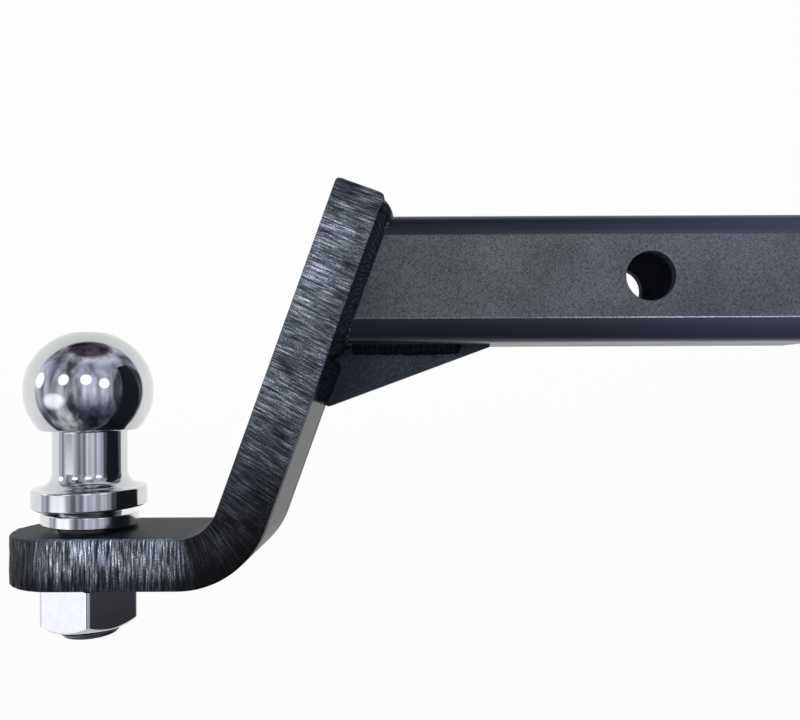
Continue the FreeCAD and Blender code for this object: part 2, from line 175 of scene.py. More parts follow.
# black powder coat: a fine orange peel breaks the sheen into specks; flats keep the paler coat up to
# flatHalf mm from the middle and are darker towards the weld; their cooler tint towards the open end is
# painted light; a painted highlight line runs along their lower border; the tube's rounded corners and the
# pin bore's wall are darker as painted shade
def satinPowderCoat(name, deep, pale, shine, flatHalf):
    peelMm = 0.6      # one bump of the coat's orange peel
    cloudMm = 28.0    # slow drift of tone and sheen
    boreMm = 9.65     # radius within which the pin bore's wall is painted dark as shade
    lineMm = 0.28     # half width of the painted highlight line
    weldMm = 115.0    # pin bore to the weld
    openEndMm = 70.0  # pin bore to the open end
    mat, tree = newMaterial(name)
    coords = addNode(tree, "TexCoord")
    peel = addNode(tree, "TexNoise", None,
                   {"Scale": 1 / (peelMm * mm), "Detail": 3.0, "Roughness": 0.6},
                   {"Vector": coords.outputs["Object"]})
    cloud = addNode(tree, "TexNoise", None, {"Scale": 1 / (cloudMm * mm), "Detail": 2.0},
                    {"Vector": coords.outputs["Object"]})
    tone = addNode(tree, "ValToRGB", None, None, {"Fac": peel.outputs["Fac"]})
    setRamp(tone, [(0.36, toLinear(deep)), (0.66, toLinear(pale))])
    split = addNode(tree, "SeparateXYZ", None, None, {"Vector": coords.outputs["Object"]})
    wide = addNode(tree, "Math", {"operation": "ABSOLUTE"}, None, {0: split.outputs["Y"]})
    tall = addNode(tree, "Math", {"operation": "ABSOLUTE"}, None, {0: split.outputs["Z"]})
    least = addNode(tree, "Math", {"operation": "MINIMUM"}, None,
                    {0: wide.outputs[0], 1: tall.outputs[0]})
    corner = addNode(tree, "MapRange", None,
                     {"From Min": (flatHalf - 0.2) * mm, "From Max": (flatHalf + 0.4) * mm},
                     {"Value": least.outputs[0]})
    # painted highlight: a thin line along the flats' lower border, brighter towards the open end, for the
    # floor's light in the lower rounding
    line = addNode(tree, "Math", {"operation": "COMPARE"}, {1: -flatHalf * mm, 2: lineMm * mm},
                   {0: split.outputs["Z"]})
    drift = addNode(tree, "MapRange", None,
                    {"From Min": 0.3, "From Max": 0.7, "To Min": 0.78, "To Max": 1.22},
                    {"Value": cloud.outputs["Fac"]})
    along = addNode(tree, "MapRange", None, {"From Min": -weldMm * mm, "From Max": openEndMm * mm},
                    {"Value": split.outputs["X"]})
    lowerHighlightTone = addNode(tree, "ValToRGB", None, None, {"Fac": along.outputs["Result"]})
    setRamp(lowerHighlightTone, [(0.35, grey(0.9)), (0.65, grey(5.5))])
    # random drift of tone plus the painted highlight line
    lightness = addNode(tree, "Math", {"operation": "MULTIPLY_ADD"}, None,
                     {0: line.outputs[0], 1: lowerHighlightTone.outputs["Color"], 2: drift.outputs["Result"]})
    # darker towards the weld; the green then cool tint towards the open end is painted light
    weldDarkAndCoolLight = addNode(tree, "ValToRGB", None, None, {"Fac": along.outputs["Result"]})
    setRamp(weldDarkAndCoolLight, [(0.0, (0.52, 0.55, 0.53, 1.0)), (0.2, (1.0, 1.03, 0.96, 1.0)),
                      (0.6, grey(1.0)), (0.8, (0.9, 0.9, 1.04, 1.0))])
    flatten = addNode(tree, "VectorMath", {"operation": "MULTIPLY"}, {1: (1.0, 0.0, 1.0)},
                      {0: coords.outputs["Object"]})
    fromBore = addNode(tree, "VectorMath", {"operation": "LENGTH"}, None,
                       {0: flatten.outputs["Vector"]})
    inBore = addNode(tree, "Math", {"operation": "LESS_THAN"}, {1: boreMm * mm},
                     {0: fromBore.outputs["Value"]})
    # painted shade: the rounded corners and the pin bore's wall take the dark tone below
    dark = addNode(tree, "Math", {"operation": "MAXIMUM"}, None,
                   {0: corner.outputs["Result"], 1: inBore.outputs[0]})
    flats = addNode(tree, "VectorMath", {"operation": "SCALE"}, None,
                    {0: tone.outputs["Color"], "Scale": lightness.outputs[0]})
    tinted = addNode(tree, "VectorMath", {"operation": "MULTIPLY"}, None,
                     {0: flats.outputs["Vector"], 1: weldDarkAndCoolLight.outputs["Color"]})
    # dark bluish tone of the painted shade, darkest by the weld
    cornerShadeTone = addNode(tree, "ValToRGB", None, None, {"Fac": along.outputs["Result"]})
    setRamp(cornerShadeTone, [(0.0, toLinear("#0f1319")), (0.45, toLinear("#191f28")), (0.85, toLinear("#272f3d"))])
    coat = addNode(tree, "Mix", {"data_type": "RGBA"}, None,
                   {0: dark.outputs[0], 6: tinted.outputs["Vector"], 7: cornerShadeTone.outputs["Color"]})
    rough = addNode(tree, "MapRange", None, {"To Min": 0.24, "To Max": 0.38},
                    {"Value": cloud.outputs["Fac"]})
    boreRough = addNode(tree, "Math", {"operation": "MULTIPLY"}, {1: 0.9}, {0: inBore.outputs[0]})
    roughAll = addNode(tree, "Math", {"operation": "MAXIMUM"}, None,
                       {0: rough.outputs["Result"], 1: boreRough.outputs[0]})
    bump = addNode(tree, "Bump", None, {"Strength": 0.35, "Distance": 0.05 * mm},
                   {"Height": peel.outputs["Fac"]})
    skin = addNode(tree, "BsdfPrincipled", None, {"Specular IOR Level": shine},
                   {"Base Color": coat.outputs[2], "Roughness": roughAll.outputs[0],
                    "Normal": bump.outputs["Normal"]})
    addNode(tree, "OutputMaterial", None, None, {"Surface": skin.outputs["BSDF"]})
    return mat


# the plate's track attribute: X runs along the bar in mm, moved on by secondSide on the far cut side, Y across
# the thickness in mm, and Z is 0 on the cut sides and one of the marks elsewhere
cutTrack = {
    "secondSide": 500.0,
    "sideBelow": 1.0,     # a mark below this is a cut side
    "topMark": 3.0,       # platform's top and leg's front
    "underMark": 6.0,     # platform's underside and leg's back
    "plainMark": 9.0,     # upper end and stud hole
}


# black paint over a torch cut: drag lines run across the thickness in bands of grey crests and dark
# hollows, the crests brightened further by painted glints; paler on the platform and the upper leg, darker
# at the platform's rounded end, over the bend, at the leg's very top and on the platform's lower part; the
# rolled faces are plain black, glossier underneath and behind
def torchCutPaint():
    lineMm = 0.5       # spacing of the fine drag lines, coarser than the real 0.3 mm so that they show
    lineLongMm = 11.0  # how far one line runs across the thickness
    glintMm = 0.85     # width of the bands of crests that shine
    patchMm = 11.0     # slow change from paler to darker paint
    gritMm = 0.45      # grains of scale under the paint
    barMm = 254.0      # length of the cut side, measured along the bar
    mat, tree = newMaterial("blackPaintOnTorchCut")
    track = addNode(tree, "Attribute", {"attribute_name": "track"})
    split = addNode(tree, "SeparateXYZ", None, None, {"Vector": track.outputs["Vector"]})
    onSide = addNode(tree, "Math", {"operation": "LESS_THAN"}, {1: cutTrack["sideBelow"]},
                     {0: split.outputs["Z"]})
    stretch = addNode(tree, "Mapping", None,
                      {"Scale": (1 / lineMm, 1 / lineLongMm, 1.0)}, {"Vector": track.outputs["Vector"]})
    lines = addNode(tree, "TexNoise", None, {"Scale": 1.0, "Detail": 3.0, "Roughness": 0.7},
                    {"Vector": stretch.outputs["Vector"]})
    wider = addNode(tree, "Mapping", None,
                    {"Scale": (1 / glintMm, 1.1 / lineLongMm, 1.0), "Location": (7.0, 3.0, 0.0)},
                    {"Vector": track.outputs["Vector"]})
    crests = addNode(tree, "TexNoise", None, {"Scale": 1.0, "Detail": 2.0, "Roughness": 0.6},
                     {"Vector": wider.outputs["Vector"]})
    coords = addNode(tree, "TexCoord")
    grit = addNode(tree, "TexNoise", None, {"Scale": 1 / (gritMm * mm), "Detail": 2.0},
                   {"Vector": coords.outputs["Object"]})
    patch = addNode(tree, "TexNoise", None, {"Scale": 1 / (patchMm * mm), "Detail": 2.0},
                    {"Vector": coords.outputs["Object"]})
    fine = addNode(tree, "ValToRGB", None, None, {"Fac": lines.outputs["Fac"]})
    setRamp(fine, [(0.34, toLinear("#12161e")), (0.48, toLinear("#353a41")), (0.66, toLinear("#585a5f"))])
    # painted glints: the crests brighten the drag lines, harder on the platform
    glint = addNode(tree, "ValToRGB", None, None, {"Fac": crests.outputs["Fac"]})
    setRamp(glint, [(0.33, grey(0.3)), (0.46, grey(0.9)), (0.56, grey(1.9)), (0.68, grey(3.4))])
    pale = addNode(tree, "MapRange", None,
                   {"From Min": 0.3, "From Max": 0.7, "To Min": 0.5, "To Max": 1.5},
                   {"Value": patch.outputs["Fac"]})
    way = addNode(tree, "Math", {"operation": "MODULO"}, {1: cutTrack["secondSide"]},
                  {0: split.outputs["X"]})
    share = addNode(tree, "Math", {"operation": "DIVIDE"}, {1: barMm}, {0: way.outputs[0]})
    # paler on the platform and the upper leg, darker at the rounded end, over the bend and at the leg's very top
    lightness = addNode(tree, "ValToRGB", None, None, {"Fac": share.outputs[0]})
    setRamp(lightness, [(0.05, grey(0.16)), (0.13, grey(0.24)), (0.17, grey(1.3)), (0.33, grey(1.05)),
                     (0.38, grey(0.08)), (0.46, grey(0.10)), (0.55, grey(0.27)), (0.70, grey(0.95)),
                     (0.98, grey(1.25)), (0.992, grey(0.5))])
    harder = addNode(tree, "ValToRGB", None, None, {"Fac": share.outputs[0]})
    setRamp(harder, [(0.13, grey(1.0)), (0.17, grey(1.5)), (0.33, grey(1.5)), (0.39, grey(0.9))])
    lowTone = addNode(tree, "ValToRGB", None, None, {"Fac": share.outputs[0]})
    setRamp(lowTone, [(0.38, grey(0.16)), (0.6, grey(0.95))])
    dragged = addNode(tree, "MapRange", None, {"From Min": -6.5, "From Max": 1.5, "To Max": 1.25},
                      {"Value": split.outputs["Y"], "To Min": lowTone.outputs["Color"]})
    spark = addNode(tree, "Math", {"operation": "POWER"}, None,
                    {0: glint.outputs["Color"], 1: harder.outputs["Color"]})
    shade = addNode(tree, "VectorMath", {"operation": "SCALE"}, None,
                    {0: fine.outputs["Color"], "Scale": spark.outputs[0]})
    grain = addNode(tree, "MapRange", None,
                    {"From Min": 0.34, "From Max": 0.68, "To Min": 0.4, "To Max": 1.8},
                    {"Value": grit.outputs["Fac"]})
    worn = addNode(tree, "Math", {"operation": "MULTIPLY"}, None,
                   {0: pale.outputs["Result"], 1: dragged.outputs["Result"]})
    wornGrain = addNode(tree, "Math", {"operation": "MULTIPLY"}, None,
                        {0: worn.outputs[0], 1: grain.outputs["Result"]})
    drift = addNode(tree, "VectorMath", {"operation": "SCALE"}, None,
                    {0: shade.outputs["Vector"], "Scale": wornGrain.outputs[0]})
    cut = addNode(tree, "VectorMath", {"operation": "MULTIPLY"}, None,
                  {0: drift.outputs["Vector"], 1: lightness.outputs["Color"]})
    tone = addNode(tree, "Mix", {"data_type": "RGBA"}, {6: toLinear("#161b22")},
                   {0: onSide.outputs[0], 7: cut.outputs["Vector"]})
    depth = addNode(tree, "Math", {"operation": "MULTIPLY"}, {1: 0.6}, {0: onSide.outputs[0]})
    lineBump = addNode(tree, "Bump", None, {"Distance": 0.10 * mm},
                       {"Height": lines.outputs["Fac"], "Strength": depth.outputs[0]})
    bump = addNode(tree, "Bump", None, {"Strength": 0.35, "Distance": 0.05 * mm},
                   {"Height": grit.outputs["Fac"], "Normal": lineBump.outputs["Normal"]})
    rough = addNode(tree, "MapRange", None,
                    {"From Min": cutTrack["topMark"], "From Max": cutTrack["underMark"],
                     "To Min": 0.48, "To Max": 0.34}, {"Value": split.outputs["Z"]})
    skin = addNode(tree, "BsdfPrincipled", None, {"Specular IOR Level": 0.14},
                   {"Base Color": tone.outputs[2], "Roughness": rough.outputs["Result"],
                    "Normal": bump.outputs["Normal"]})
    addNode(tree, "OutputMaterial", None, None, {"Surface": skin.outputs["BSDF"]})
    return mat


# the same black paint over weld metal: uneven gloss where it pooled, grey on the ripples' crests as a
# painted highlight, rubbed grey in specks along the toe on the tube; the track attribute's X is the crest's
# height and Y the way to the toe
def weldPaint():
    poolMm = 1.4     # one pool of paint
    speckMm = 0.7    # one rubbed speck
    mat, tree = newMaterial("blackPaintOnWeldBead")
    coords = addNode(tree, "TexCoord")
    pool = addNode(tree, "TexNoise", None, {"Scale": 1 / (poolMm * mm), "Detail": 3.0},
                   {"Vector": coords.outputs["Object"]})
    tone = addNode(tree, "ValToRGB", None, None, {"Fac": pool.outputs["Fac"]})
    setRamp(tone, [(0.35, toLinear("#05070b")), (0.70, toLinear("#0f131a"))])
    track = addNode(tree, "Attribute", {"attribute_name": "track"})
    split = addNode(tree, "SeparateXYZ", None, None, {"Vector": track.outputs["Vector"]})
    speck = addNode(tree, "TexNoise", None, {"Scale": 1 / (speckMm * mm), "Detail": 2.0},
                    {"Vector": coords.outputs["Object"]})
    crest = addNode(tree, "MapRange", None, {"From Min": 0.5, "To Max": 0.35},
                    {"Value": split.outputs["X"]})
    # painted highlight on the ripples' crests, patchy with the pools; the toe's specks are rubbed paint
    crestHighlight = addNode(tree, "Math", {"operation": "MULTIPLY"}, None,
                         {0: crest.outputs["Result"], 1: pool.outputs["Fac"]})
    toe = addNode(tree, "MapRange", None, {"From Min": 0.84, "From Max": 0.95},
                  {"Value": split.outputs["Y"]})
    toeSpeck = addNode(tree, "MapRange", None, {"From Min": 0.5, "From Max": 0.62},
                       {"Value": speck.outputs["Fac"]})
    toeRubAndCrestHighlight = addNode(tree, "Math", {"operation": "MULTIPLY_ADD"}, None,
                     {0: toe.outputs["Result"], 1: toeSpeck.outputs["Result"], 2: crestHighlight.outputs[0]})
    coat = addNode(tree, "Mix", {"data_type": "RGBA"}, {7: toLinear("#4a4f57")},
                   {0: toeRubAndCrestHighlight.outputs[0], 6: tone.outputs["Color"]})
    rough = addNode(tree, "MapRange", None, {"To Min": 0.26, "To Max": 0.42},
                    {"Value": pool.outputs["Fac"]})
    bump = addNode(tree, "Bump", None, {"Strength": 0.3, "Distance": 0.08 * mm},
                   {"Height": pool.outputs["Fac"]})
    skin = addNode(tree, "BsdfPrincipled", None, {"Specular IOR Level": 0.12},
                   {"Base Color": coat.outputs[2], "Roughness": rough.outputs["Result"],
                    "Normal": bump.outputs["Normal"]})
    addNode(tree, "OutputMaterial", None, None, {"Surface": skin.outputs["BSDF"]})
    return mat


# bright chrome plate on turned steel: a cool mirror, faintly hazed; the threaded stud below is dull, and
# darker as painted shade
def chromePlate():
    hazeMm = 9.0        # slow change of the haze
    studTopMm = -92.5   # height just below the flange's underside
    mat, tree = newMaterial("polishedChromePlate")
    coords = addNode(tree, "TexCoord")
    haze = addNode(tree, "TexNoise", None, {"Scale": 1 / (hazeMm * mm), "Detail": 3.0},
                   {"Vector": coords.outputs["Object"]})
    height = addNode(tree, "SeparateXYZ", None, None, {"Vector": coords.outputs["Object"]})
    studDullAndShaded = addNode(tree, "MapRange", None,
                   {"From Min": (studTopMm + 0.1) * mm, "From Max": studTopMm * mm, "To Max": 0.35},
                   {"Value": height.outputs["Z"]})
    rough = addNode(tree, "MapRange", None, {"To Min": 0.03, "To Max": 0.075},
                    {"Value": haze.outputs["Fac"]})
    roughAll = addNode(tree, "Math", {"operation": "ADD"}, None,
                       {0: rough.outputs["Result"], 1: studDullAndShaded.outputs["Result"]})
    # the stud's rougher finish is real; its darker tone is painted shade for the gap under the flange
    tone = addNode(tree, "ValToRGB", None, None, {"Fac": studDullAndShaded.outputs["Result"]})
    setRamp(tone, [(0.0, toLinear("#dadbdc")), (0.35, toLinear("#6d6f74"))])
    skin = addNode(tree, "BsdfPrincipled", None, {"Metallic": 1.0},
                   {"Base Color": tone.outputs["Color"], "Roughness": roughAll.outputs[0]})
    addNode(tree, "OutputMaterial", None, None, {"Surface": skin.outputs["BSDF"]})
    return mat


# bright zinc plate on forged steel: silvery and a little soft, faintly blotched by the plating bath
def brightZinc():
    blotchMm = 2.6   # one blotch
    mat, tree = newMaterial("brightZincPlate")
    coords = addNode(tree, "TexCoord")
    blotch = addNode(tree, "TexNoise", None, {"Scale": 1 / (blotchMm * mm), "Detail": 4.0},
                     {"Vector": coords.outputs["Object"]})
    tone = addNode(tree, "ValToRGB", None, None, {"Fac": blotch.outputs["Fac"]})
    setRamp(tone, [(0.3, toLinear("#e1e2e2")), (0.7, toLinear("#e9e9e7"))])
    rough = addNode(tree, "MapRange", None, {"To Min": 0.11, "To Max": 0.135},
                    {"Value": blotch.outputs["Fac"]})
    bump = addNode(tree, "Bump", None, {"Strength": 0.03, "Distance": 0.04 * mm},
                   {"Height": blotch.outputs["Fac"]})
    skin = addNode(tree, "BsdfPrincipled", None, {"Metallic": 1.0},
                   {"Base Color": tone.outputs["Color"], "Roughness": rough.outputs["Result"],
                    "Normal": bump.outputs["Normal"]})
    addNode(tree, "OutputMaterial", None, None, {"Surface": skin.outputs["BSDF"]})
    return mat


coatMat = satinPowderCoat("satinBlackPowderCoat", "#2d3033", "#52565a", 0.3, 16.0)
# the gusset's coat is a darker copy of the same coat: painted shade for the tube's shadow over it
gussetShadedMat = satinPowderCoat("shadedBlackPowderCoat", "#161c24", "#353d47", 0.22, 900.0)
cutMat = torchCutPaint()
weldMat = weldPaint()
chromeMat = chromePlate()
zincMat = brightZinc()
for nodeName, nodeMat in (("shank_tube", coatMat), ("gusset", gussetShadedMat)):
    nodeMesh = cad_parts[nodeName].data
    nodeMesh.materials.clear()
    nodeMesh.materials.append(nodeMat)
print("materials made")

# bent plate: sizes in mm, places read from the frame
plate = {
    "thickness": 20.0,
    "bendRadius": 16.0,     # inside of the bend
    "lean": 20.0,           # degrees from vertical
    "setback": 113.9,       # pin bore to the back face on the shank axis
    "legRise": 34.0,        # top end above the shank axis, along the leg
    "drop": 101.0,          # shank axis to the platform
    "edgeRadius": 1.1,
    "step": 0.42,           # row spacing along the bar
    "sideColumns": 30,      # grid columns over the cut side
    "roughness": 0.09,      # depth of the cut's drag lines
    "meanDepth": 0.22,      # how far the cut lies inside the bar's full width
    "maxDepth": 0.6,
    "topRound": 1.6,        # rounding of the upper end's corners
    "slant": 0.26,          # most that the drag lines lag across the leg's thickness
    "studHole": 25.0,
}
plateLow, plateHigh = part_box("drop_plate")
lean = math.radians(plate["lean"])
bend = math.pi / 2 - lean
midRadius = plate["bendRadius"] + plate["thickness"] / 2
halfWidth = (plateHigh.y - plateLow.y) / 2 / mm
endX = plateLow.x / mm
bendZ = plate["bendRadius"] - plate["drop"]
backNormal = -plate["setback"] * math.cos(lean)
bendX = (backNormal - plate["thickness"] - plate["bendRadius"] + math.sin(lean) * bendZ) / math.cos(lean)
flatRun = bendX - endX
bendRun = midRadius * bend
legAxis = np.array([math.sin(lean), math.cos(lean)])
legTop = np.array([-plate["setback"], 0.0]) + plate["legRise"] * legAxis
legStart = np.array([bendX + midRadius * math.cos(lean), bendZ - midRadius * math.sin(lean)])
legRun = float((legTop - legStart) @ legAxis)


# middle line of the bar: straight platform, arc of the bend, straight leg; gives place and direction angle
def barPath(s):
    turn = np.clip((s - flatRun) / midRadius, 0.0, bend)
    x = bendX + midRadius * np.sin(turn) + np.minimum(s - flatRun, 0.0)
    z = bendZ - midRadius * np.cos(turn)
    onLeg = np.maximum(s - flatRun - bendRun, 0.0)
    return x + onLeg * math.sin(lean), z + onLeg * math.cos(lean), turn


# cut bar: a rounded rectangle carried along the bar path, narrowed to a half circle at the platform's end,
# with both cut sides pressed in by a depth field of drag lines
def makePlate():
    tip = halfWidth * (1 - np.cos(np.linspace(0.02, math.pi / 2, 90)))
    total = flatRun + bendRun + legRun
    close = total - plate["topRound"] * (1 - np.sin(np.linspace(0, math.pi / 2, 9)))
    s = np.concatenate([tip, np.arange(halfWidth, close[0], plate["step"])[1:-1], close])
    half = np.where(s < halfWidth, np.sqrt(np.maximum(halfWidth ** 2 - (halfWidth - s) ** 2, 0.0)), halfWidth)
    around = np.where(s < halfWidth, halfWidth * np.arccos(np.clip(1 - s / halfWidth, -1, 1)),
                      halfWidth * math.pi / 2 + s - halfWidth)
    slopeS = np.where(s < halfWidth, -(halfWidth - s) / halfWidth, 0.0)
    slopeY = np.where(s < halfWidth, half / halfWidth, 1.0)

    n = plate["sideColumns"]
    halfThick = plate["thickness"] / 2
    r = plate["edgeRadius"]
    corner = np.linspace(0, math.pi / 2, 5)
    t = np.linspace(-halfThick + r, halfThick - r, n)
    # quarter section from the platform's underside up one cut side and over the edge
    inset = np.concatenate([r * (1 - np.sin(corner)), np.zeros(n - 2), r * (1 - np.sin(corner[::-1]))])
    level = np.concatenate([-halfThick + r * (1 - np.cos(corner)), t[1:-1],
                            halfThick - r * (1 - np.cos(corner[::-1]))])
    faceWeight = np.clip((halfThick - np.abs(level)) / r, 0, 1) ** 0.5

    rows = len(s)
    columns = len(level)
    # lag of the drag lines: none on the platform, most where the leg leaves the bend, none at its top
    slant = plate["slant"] * np.clip((s - flatRun) / bendRun, 0, 1) * np.clip((total - s) / legRun, 0, 1)
    lag = slant[:, None] * level[None, :]
    lagRows = (np.arange(rows)[:, None] - np.rint(lag / plate["step"]).astype(int)) % rows
    sides = []
    tracks = []
    for hand in (-1.0, 1.0):
        coarse = smoothNoise(rows, columns, 2, 40)
        fine = smoothNoise(rows, columns, 0, 18)
        broad = smoothNoise(rows, columns, 60, 40)
        pits = np.maximum(smoothNoise(rows, columns, 3, 8) - 1.9, 0)
        relief = plate["roughness"] * (0.7 * coarse + 0.9 * fine + 0.5 * broad)
        depth = plate["meanDepth"] + relief + 0.3 * pits
        depth = np.take_along_axis(depth, lagRows, axis=0)
        depth = np.clip(depth, 0.0, plate["maxDepth"]) * faceWeight[None, :]
        press = inset[None, :] * np.minimum(1.0, half / (2 * r))[:, None] + depth
        y = hand * (half[:, None] - np.minimum(press, half[:, None]) * slopeY[:, None])
        ds = -press * slopeS[:, None]
        levels = np.broadcast_to(level[None, :], y.shape)
        sides.append((y, ds, levels))
        trackS = around[:, None] - lag + cutTrack["secondSide"] * (hand > 0)
        tracks.append(np.stack([trackS, levels, np.zeros(y.shape)], axis=-1))

    # near side from bottom to top, over the upper face, far side from top to bottom, back under
    topY = np.linspace(sides[0][0][:, -1], sides[1][0][:, -1], 9, axis=1)[:, 1:-1]
    topDs = np.linspace(sides[0][1][:, -1], sides[1][1][:, -1], 9, axis=1)[:, 1:-1]
    bottomY = np.linspace(sides[1][0][:, 0], sides[0][0][:, 0], 9, axis=1)[:, 1:-1]
    bottomDs = np.linspace(sides[1][1][:, 0], sides[0][1][:, 0], 9, axis=1)[:, 1:-1]
    y = np.concatenate([sides[0][0], topY, sides[1][0][:, ::-1], bottomY], axis=1)
    ds = np.concatenate([sides[0][1], topDs, sides[1][1][:, ::-1], bottomDs], axis=1)
    up = np.concatenate([sides[0][2], np.full(topY.shape, halfThick), sides[1][2][:, ::-1],
                         np.full(bottomY.shape, -halfThick)], axis=1)
    flatS = np.broadcast_to(around[:, None], topY.shape)
    flatTrack = np.stack([flatS, topY, np.full(topY.shape, cutTrack["topMark"])], axis=-1)
    underTrack = np.stack([flatS, bottomY, np.full(topY.shape, cutTrack["underMark"])], axis=-1)
    track = np.concatenate([tracks[0], flatTrack, tracks[1][:, ::-1], underTrack], axis=1)

    # upper end: the section thins along a quarter circle over the last stretch
    over = np.clip(s - (total - plate["topRound"]), 0, plate["topRound"])
    thin = plate["topRound"] - np.sqrt(plate["topRound"] ** 2 - over ** 2)
    up = up * (1 - thin / halfThick)[:, None]
    # end face: the last ring again, drawn in twice towards the middle
    inward = np.array([0.97, 0.5])[:, None]
    s = np.concatenate([s, [total, total]])
    y = np.concatenate([y, y[-1:] * inward])
    up = np.concatenate([up, up[-1:] * inward])
    ds = np.concatenate([ds, np.repeat(ds[-1:], 2, axis=0)])
    endTrack = np.repeat(track[-1:], 2, axis=0)
    endTrack[..., 2] = cutTrack["plainMark"]
    track = np.concatenate([track, endTrack])
    x, z, turn = barPath(s[:, None] + ds)
    points = np.stack([x - up * np.sin(turn), y, z + up * np.cos(turn)], axis=-1) * mm
    return gridPiece("dropPlate", points, ringV=True, caps=True, track=track, sharp=60.0)


# stud hole: a cylinder about the ball's axis is cut from the platform, and its wall is marked as plain paint
def drillStudHole(piece):
    radius = plate["studHole"] / 2
    past = 10.0      # the drill runs on beyond both faces
    turn = np.linspace(0, 2 * math.pi, 96, endpoint=False)[None, :]
    z = np.array([past, -plate["thickness"] - past])[:, None] - plate["drop"]
    x = ball["axisX"] + radius * np.cos(turn)
    points = np.stack([x + 0 * z, radius * np.sin(turn) + 0 * z, z + 0 * turn], axis=-1) * mm
    drill = gridPiece("studDrill", points, ringV=True, caps=True, sharp=60.0)
    cut = piece.modifiers.new("studHole", "BOOLEAN")
    cut.operation = "DIFFERENCE"
    cut.solver = "EXACT"
    cut.object = drill
    drilled = bpy.data.meshes.new_from_object(piece.evaluated_get(bpy.context.evaluated_depsgraph_get()))
    piece.modifiers.clear()
    whole = piece.data
    piece.data = drilled
    bpy.data.meshes.remove(whole)
    bpy.data.meshes.remove(drill.data)
    drilled.name = piece.name
    spots = np.empty(len(drilled.vertices) * 3)
    drilled.vertices.foreach_get("co", spots)
    spots = spots.reshape(-1, 3) / mm
    layer = drilled.attributes["track"]
    marks = np.empty(len(spots) * 3, dtype=np.float32)
    layer.data.foreach_get("vector", marks)
    marks = marks.reshape(-1, 3)
    onWall = np.hypot(spots[:, 0] - ball["axisX"], spots[:, 1]) < radius + 0.01
    marks[onWall, 2] = cutTrack["plainMark"]
    layer.data.foreach_set("vector", marks.reshape(-1))
    drilled.set_sharp_from_angle(angle=math.radians(60.0))
    return piece


# tow ball: heights in mm above the platform
ball = {
    "axisX": -227.6,
    "diameter": 50.0,
    "topCut": 0.9,
    "underside": 16.4,      # ball centre to the flat underside
    "neckDiameter": 29.0,
    "neckLength": 23.6,
    "neckFillet": 6.5,
    "flangeDiameter": 44.6,
    "flangeThickness": 8.0,
    "flangeEdge": 0.8,
    "flangeBottom": 9.6,    # on top of the free spring washer
    "studDiameter": 24.0,
    "studEnd": -43.2,
    "studChamfer": 1.6,
    "threadTop": -18.0,
    "threadPitch": 3.0,
    "threadDepth": 1.5,
    "turns": 240,           # columns round the axis
}

platePiece = dress(drillStudHole(makePlate()), "drop_plate", cutMat)
print("plate:", len(platePiece.data.polygons), "faces")


# arc of a circle in the profile plane: centre plus radius times (cos, sin) between two angles in degrees
def profileArc(cx, cz, r, start, stop, count):
    a = np.radians(np.linspace(start, stop, count))
    return np.stack([cx + r * np.cos(a), cz + r * np.sin(a)], axis=-1)


# straight stretch of profile between two points
def profileLine(a, b, count):
    return np.linspace(np.array(a), np.array(b), count)


# turned piece: profile radius and height carried round the axis; below the flange the radius loses a triangle
# wave of height and angle, which is the thread
def makeBall():
    radius = ball["diameter"] / 2
    flangeTop = ball["flangeBottom"] + ball["flangeThickness"]
    under = flangeTop + ball["neckLength"]
    centre = under + ball["underside"]
    neck = ball["neckDiameter"] / 2
    flange = ball["flangeDiameter"] / 2
    edge = ball["flangeEdge"]
    stud = ball["studDiameter"] / 2
    fillet = ball["neckFillet"]
    top = math.degrees(math.asin((radius - ball["topCut"]) / radius))
    low = -math.degrees(math.asin(ball["underside"] / radius))
    rim = radius * math.cos(math.radians(low))
    topZ = centre + radius - ball["topCut"]
    lip = 0.5
    profile = np.concatenate([
        profileLine((0.0, topZ), (radius * math.cos(math.radians(top)) - 0.01, topZ), 8),
        profileArc(0, centre, radius, top, low + 1.2, 110),
        profileLine((rim, under + lip * 0.4), (rim - lip, under), 4),
        profileLine((rim - lip - 0.1, under), (neck + 0.5, under), 6),
        profileArc(neck + 0.5, under - 0.5, 0.5, 90, 180, 5)[1:],
        profileLine((neck, under - 0.8), (neck, flangeTop + fillet + 0.1), 24),
        profileArc(neck + fillet, flangeTop + fillet, fillet, 180, 270, 22),
        profileLine((neck + fillet + 0.1, flangeTop), (flange - edge, flangeTop), 4),
        profileArc(flange - edge, flangeTop - edge, edge, 90, 0, 7)[1:],
        profileLine((flange, flangeTop - edge - 0.05), (flange, ball["flangeBottom"] + edge + 0.05), 8),
        profileArc(flange - edge, ball["flangeBottom"] + edge, edge, 0, -90, 7),
        profileLine((flange - edge - 0.1, ball["flangeBottom"]), (stud + 0.01, ball["flangeBottom"]), 6),
        profileLine((stud, ball["flangeBottom"] - 0.05), (stud, ball["threadTop"]), 10),
        profileLine((stud, ball["threadTop"] - 0.2), (stud, ball["studEnd"]), 170),
        profileLine((stud - ball["studChamfer"] - 0.1, ball["studEnd"]), (0.0, ball["studEnd"]), 6),
    ])
    angle = np.linspace(0, 2 * math.pi, ball["turns"], endpoint=False)[None, :]
    r = np.broadcast_to(profile[:, :1], (len(profile), ball["turns"])).copy()
    z = np.broadcast_to(profile[:, 1:], r.shape)
    phase = (z / ball["threadPitch"] - angle / (2 * math.pi)) % 1.0
    groove = np.clip(np.abs(2 * phase - 1) * 1.3 - 0.15, 0, 1) * ball["threadDepth"]
    cone = stud - ball["studChamfer"] + (z - ball["studEnd"])
    threaded = (z < ball["threadTop"] - 1.0) & (profile[:, :1] > stud - 0.01)
    r = np.where(threaded, np.minimum(r - groove, cone), r)
    points = np.stack([ball["axisX"] + r * np.cos(angle), r * np.sin(angle), z - plate["drop"]], axis=-1) * mm
    return gridPiece("towBall", points, ringV=True, sharp=35.0)


dress(makeBall(), "tow_ball", chromeMat)

